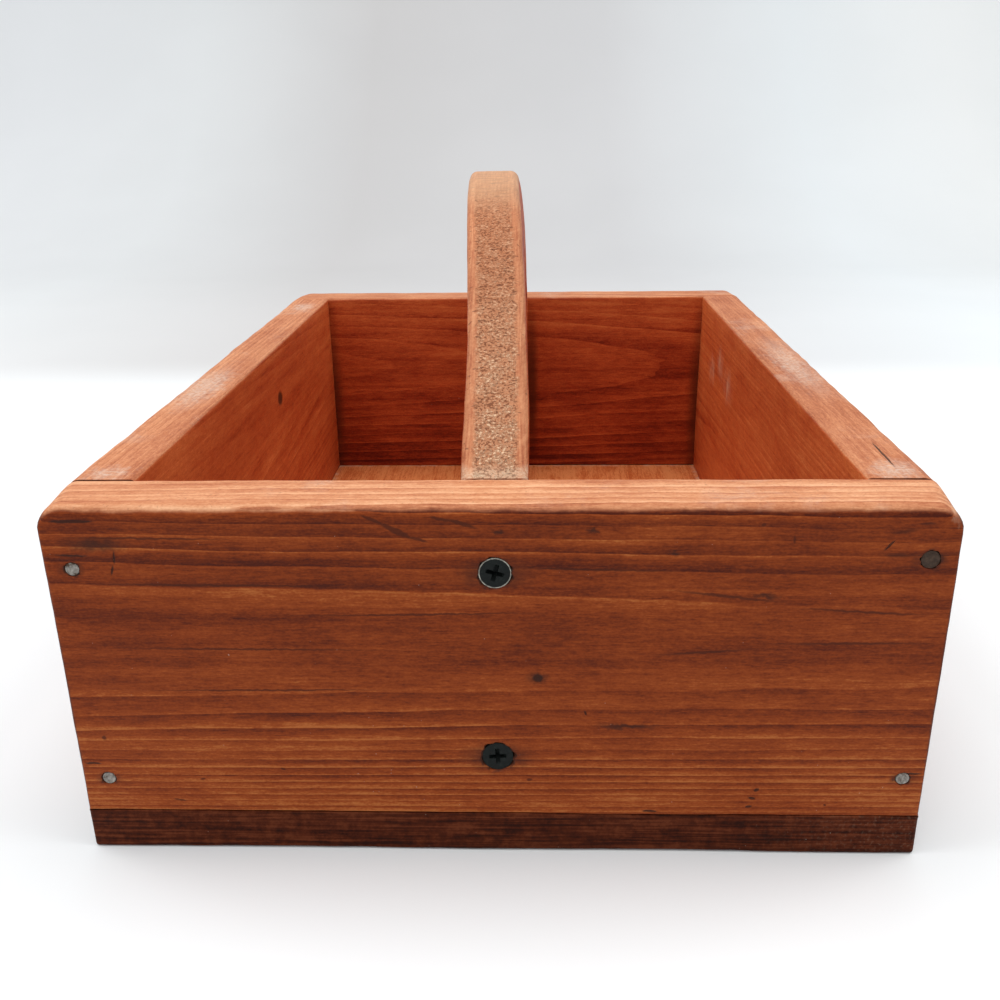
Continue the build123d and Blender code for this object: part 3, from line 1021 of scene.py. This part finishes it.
def sawn_wood(look):
    """The colour of the rough shoulders, and the grain, the pale fibres and the pits in it."""
    grain = look.noise(look.vector("MULTIPLY", look.at, (0.75, 1.0, 1.0)), 0.62, 3.0, 0.65)
    clumps = look.noise(look.at, 4.0, 2.0, 0.5)
    grain = look.times_plus(look.minus(clumps, 0.5), 0.22, grain)
    pits = look.remap(grain, 0.455, 0.385)
    flecks = look.remap(grain, 0.555, 0.63)
    twist = {"Vector": look.at, "Scale": 1.1, "Detail": 2.0, "Distortion": 1.8}
    twist = look.add("TexNoise", twist).outputs["Fac"]
    ridge = look.absolute(look.minus(twist, 0.5))
    curls = look.times(look.remap(ridge, 0.030, 0.006), look.remap(clumps, 0.42, 0.58))
    low = look.remap(look.z, RIM_Z + 46, RIM_Z, 0.35, 1.0)
    pale = look.times(look.larger(flecks, curls), low)
    rough = look.mix(look.remap(look.z, RIM_Z + 60, RIM_Z + 5), *SAWN_STAIN)
    rough = look.mix(look.times(pits, 0.90), rough, (0.200, 0.065, 0.030))
    return look.mix(pale, rough, (0.900, 0.620, 0.400)), grain, pale, pits


def crown_marks(look, colour, outer, between, shoulder):
    """The colour with the crown's stripes, dark dashes and a painted highlight along its crest, and the
    stripes.
    """
    grooves = look.join(look.times(look.x, 0.12), look.y, look.z)
    stripes = look.remap(look.noise(grooves, 1.7, 4.0, 0.7), 0.46, 0.64)
    crown = look.times(look.minus(1.0, look.times(shoulder, 0.8)), outer)
    lines = look.times(stripes, between, crown)
    colour = look.mix(look.times(lines, 0.72), colour, (0.27, 0.092, 0.040))
    dash_place = look.join(look.times(look.x, 0.35), look.y, look.z)
    dashes = look.times(look.remap(look.noise(dash_place, 1.1, 1.0), 0.67, 0.73), outer)
    colour = look.mix(look.times(dashes, 0.6), colour, (0.13, 0.040, 0.020))
    # Painted highlight: the crown's top made paler where it faces the light above.
    crest = look.times(look.remap(look.z, HANDLE_HIGH[2] - 12, HANDLE_HIGH[2] - 2), outer)
    return look.mix(look.times(crest, 0.40), colour, (0.70, 0.48, 0.29)), lines


def handle_material():
    """The handle: stained cheeks, sanded pale edges lightened as painted sheen, dusty sawn shoulders, a
    striped crown.
    """
    look = Look("handle_finish")
    rings = Rings((60.0, 40.0), 0.02, 40.0, 3.0, 0.004, 1.0, 0.1, 7)
    level, fibres = wood_grain(look, look.y, look.z, look.x, rings, 0.3)
    outer, between, shoulder = handle_masks(look)
    sanded = look.noise(look.vector("MULTIPLY", look.at, (1.0, 0.05, 0.05)), 0.6, 2.0, 0.6)
    edge_level = look.times_plus(sanded, 1.0, look.times_plus(level, 0.60, -0.36))
    # The outer side's pale ramp is sanded wood with painted sheen, as on the rims.
    colour = look.mix(outer, look.ramp(level, INSIDE_STAIN_AND_LIGHT), look.ramp(edge_level, WORN_STAIN_AND_SHEEN))
    sawn = look.times(shoulder, between, outer)
    rough, grain, pale, pits = sawn_wood(look)
    colour = look.mix(look.times(sawn, 0.90), colour, rough)
    colour, lines = crown_marks(look, colour, outer, between, shoulder)
    foot = look.remap(look.z, RIM_Z + 2.6, RIM_Z + 0.8, 0.0, 0.7)
    foot = look.times(foot, outer, look.remap(grain, 0.40, 0.60, 0.4, 1.0))
    colour = look.mix(foot, colour, (0.80, 0.58, 0.40))
    height = look.minus(look.times(look.minus(pale, pits), sawn), look.times(lines, 0.35))
    height = look.times_plus(fibres, 0.35, height)
    roughness = look.times_plus(sawn, 0.25, look.times_plus(fibres, 0.2, 0.45))
    return look.finish(colour, roughness, WOOD_GLOSS, height, 0.14)


def handle_middle(look):
    """The handle's middle across its thickness, as lean_at() has it."""
    share = look.remap(look.z, RIM_Z, HANDLE_HIGH[2], kind="LINEAR")
    foot = look.remap(look.y, HANDLE_LOW[1], HANDLE_HIGH[1], *HANDLE_SHIFTS, kind="LINEAR")
    return look.times_plus(look.calculate("POWER", share, HANDLE_BOW_POWER), HANDLE_BOW, foot)


def screw_material():
    """Black phosphate, rubbed bright at the upper heads' rims."""
    look = Look("black_screw_finish")
    radial = None
    for node in SCREWS:
        if "_front" in node:
            head = seat_of(node).head
            beside = look.join(look.minus(look.x, head[0]), 0.0, look.minus(look.z, head[2]))
            reach = look.vector("LENGTH", beside)
            radial = look.calculate("MINIMUM", radial, reach) if radial else reach
    grime = look.noise(look.at, 1.2, 4.0, 0.65)
    colour = look.ramp(grime, PHOSPHATE)
    rim, upper = look.remap(radial, 3.72, 3.86), look.remap(look.z, 60, 70)
    rubbed = look.times(rim, upper, look.remap(grime, 0.3, 0.6, 0.35, 1.0))
    colour = look.mix(rubbed, colour, (0.46, 0.44, 0.38))
    metal = look.times(rubbed, 0.7)
    return look.finish(colour, look.times_plus(grime, 0.3, 0.40), SCREW_GLOSS, grime, 0.05, metal)


def nail_material(name, bright, rusty, metallic):
    """Hammered steel: bright bruised patches, grey skin and rust."""
    look = Look(name)
    patches = look.noise(look.at, 1.0, 3.0, 0.6)
    skin = look.ramp(patches, [(0.35, rusty), (0.5, tuple(0.6 * b for b in bright)), (0.7, bright)])
    scratches = look.noise(look.at, 0.25, 2.0, 0.6)
    colour = look.mix(look.remap(scratches, 0.55, 0.7, 0.0, 0.5), skin, rusty)
    roughness = look.times_plus(scratches, 0.35, 0.3)
    return look.finish(colour, roughness, STEEL_GLOSS, patches, 0.08, metallic)


# ---------------- pieces


def build_boards():
    """The five boards. A plan is a node, its worn edges, their seed and a word in its fasteners' names."""
    corners = {axis + "+z": rim_corner(-1) for axis in ("-x", "+x")}
    front = {"-y+z": RIM_OUTER_RADIUS, "+y+z": RIM_INNER_RADIUS, "+x-y": CORNER_RADIUS, **corners}
    corners = {axis + "+z": rim_corner(1) for axis in ("-x", "+x")}
    back = {"+y+z": RIM_OUTER_RADIUS, "-y+z": RIM_INNER_RADIUS, "+x+y": CORNER_RADIUS, **corners}
    left = {"-x+z": RIM_OUTER_RADIUS, "+x+z": RIM_INNER_RADIUS}
    right = {"+x+z": RIM_OUTER_RADIUS, "-x+z": RIM_INNER_RADIUS}
    base = {f"{sign}{axis}-z": BASE_EDGE_RADIUS for sign in "-+" for axis in "xy"}
    base |= {f"+x{sign}y": CORNER_RADIUS for sign in "-+"}
    plans = (
        ("front_end_board", front, 100, "_front_", front_finish),
        ("back_end_board", back, 200, "_back_", back_finish),
        ("left_side_board", left, 300, "_left_", left_finish),
        ("right_side_board", right, 400, "_right_", right_finish),
        ("base_board", base, 500, "base_nail", None),
    )
    for node, edges, seed, word, finish in plans:
        piece = board(node, edges, seed)
        cut(piece, [fastener for fastener in NAILS + SCREWS if word in fastener])
        material = board_material(node, finish()) if finish else base_material()
        settle(piece, [node], material)


def build_handle():
    piece = handle_piece()
    cut(piece, SCREWS)
    settle(piece, ["arch_handle"], handle_material())


def build_fasteners():
    silver = nail_material("nail_steel_finish", (0.42, 0.39, 0.35), (0.085, 0.055, 0.038), 0.7)
    brown = nail_material("rusted_nail_finish", (0.105, 0.062, 0.040), (0.045, 0.024, 0.014), 0.0)
    for node in NAILS:
        rusted = node.endswith("right_upper") or node.startswith("base_nail")
        settle(nail_piece(node), [node], brown if rusted else silver)
    black = screw_material()
    for node in SCREWS:
        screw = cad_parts[node]
        screw.data.materials.clear()
        screw.data.materials.append(black)


# ---------------- stage

CAMERA_AT = Vector((9.48, -380.95, 189.49))
CAMERA_PITCH = math.radians(20.93)
CAMERA_YAW = math.radians(-2.007)
CAMERA_ROLL = math.radians(-0.786)
FOCAL_PIXELS = 1022.7
IMAGE_PIXELS = 1000
SENSOR_WIDTH = 36.0


def place_camera():
    flat = math.cos(CAMERA_PITCH)
    forward = Vector((math.sin(CAMERA_YAW) * flat, math.cos(CAMERA_YAW) * flat, -math.sin(CAMERA_PITCH)))
    level = Vector((math.cos(CAMERA_YAW), -math.sin(CAMERA_YAW), 0.0))
    upright = level.cross(forward)
    right = level * math.cos(CAMERA_ROLL) + upright * math.sin(CAMERA_ROLL)
    up = right.cross(forward)
    data = bpy.data.cameras.new("camera")
    data.sensor_width = SENSOR_WIDTH
    data.lens = FOCAL_PIXELS / IMAGE_PIXELS * SENSOR_WIDTH
    data.clip_start = 0.01
    camera = placed("camera", data)
    turn = Matrix((right, up, -forward)).transposed().to_4x4()
    camera.matrix_world = Matrix.Translation(CAMERA_AT * MM) @ turn
    bpy.context.scene.camera = camera


SWEEP_HALF_WIDTH = 1500
SWEEP_FRONT = -900
SWEEP_BEND_START = 900
SWEEP_BEND = 700
SWEEP_TOP = 2400


def backdrop():
    """A pale floor that sweeps up into a wall behind the tote."""
    line = [(SWEEP_FRONT, 0.0), (SWEEP_BEND_START, 0.0)]
    for angle in np.linspace(0, math.pi / 2, 24)[1:]:
        rise = SWEEP_BEND - SWEEP_BEND * math.cos(angle)
        line.append((SWEEP_BEND_START + SWEEP_BEND * math.sin(angle), rise))
    line.append((SWEEP_BEND_START + SWEEP_BEND, SWEEP_TOP))
    points = [(x, y, z) for y, z in line for x in (-SWEEP_HALF_WIDTH, SWEEP_HALF_WIDTH)]
    quads = [(2 * i, 2 * i + 1, 2 * i + 3, 2 * i + 2) for i in range(len(line) - 1)]
    sweep = mesh_object("backdrop", points, quads, math.radians(60))
    sweep.data.materials.append(paper_material())


PAPER_FLOOR = [(0.45, (0.90, 0.92, 0.93)), (0.60, (0.96, 0.975, 0.98))]
PAPER_WALL_AND_SHADE = [
    (0.05, (0.86, 0.88, 0.90)),
    (0.20, (0.81, 0.83, 0.84)),
    (0.36, (0.68, 0.67, 0.67)),
    (0.57, (0.72, 0.72, 0.73)),
    (0.74, (0.88, 0.92, 0.94)),
    (0.88, (0.96, 0.98, 0.98)),
]


def paper_material():
    """White paper, with painted shade: the wall greyer than the floor and greyest across its middle. Only
    what the camera and glossy surfaces see is full white.
    """
    look = Look("backdrop_paper")
    across = look.remap(look.x, -900, 900, kind="LINEAR")
    # The wall's grey ramp and faint clouds are painted shade on white paper.
    wall = look.ramp(across, PAPER_WALL_AND_SHADE)
    clouds = look.remap(look.noise(look.at, 260, 3.0), 0.3, 0.7, 0.97, 1.0)
    wall = look.vector("SCALE", wall, Scale=clouds)
    floor = look.ramp(across, PAPER_FLOOR)
    seen = look.mix(look.remap(look.y, 310, 440), floor, wall)
    path = look.add("LightPath").outputs
    direct = look.larger(path["Is Camera Ray"], path["Is Glossy Ray"])
    colour = look.mix(direct, (0.55, 0.55, 0.55), seen)
    return look.finish(colour, 0.8, PAPER_GLOSS)


LAMPS = (
    ("left_lamp", (-1250, 50, 1300), 14.5),
    ("right_lamp", (1250, 50, 1300), 12.0),
    ("front_lamp", (-250, -1250, 1300), 7.0),
    ("top_lamp", (0, 100, 1800), 12.0),
)
LAMP_SIDE = 1300
LAMP_TARGET = (0, 0, 80)
ROOM_LIGHT = 0.32


def lamp(name, place, power):
    data = bpy.data.lights.new(name, "AREA")
    data.shape = "RECTANGLE"
    data.size = data.size_y = LAMP_SIDE * MM
    data.energy = power
    light = placed(name, data)
    at, to = Vector(place) * MM, Vector(LAMP_TARGET) * MM
    light.matrix_world = Matrix.Translation(at) @ (to - at).to_track_quat("-Z", "Y").to_matrix().to_4x4()


def light_room():
    """Large lamps all round, and a room that is dim as a light but white to the eye."""
    world = bpy.data.worlds.new("room")
    world.use_nodes = True
    nodes, links = world.node_tree.nodes, world.node_tree.links
    background = nodes["Background"]
    background.inputs["Color"].default_value = (0.95, 0.98, 1.0, 1.0)
    strength = nodes.new("ShaderNodeMapRange")
    strength.inputs["To Min"].default_value = ROOM_LIGHT
    strength.inputs["To Max"].default_value = 1.0
    links.new(nodes.new("ShaderNodeLightPath").outputs["Is Camera Ray"], strength.inputs["Value"])
    links.new(strength.outputs["Result"], background.inputs["Strength"])
    bpy.context.scene.world = world
    for name, place, power in LAMPS:
        lamp(name, place, power)


build_boards()
build_handle()
build_fasteners()
backdrop()
light_room()
place_camera()
bpy.context.scene.view_settings.view_transform = "Standard"
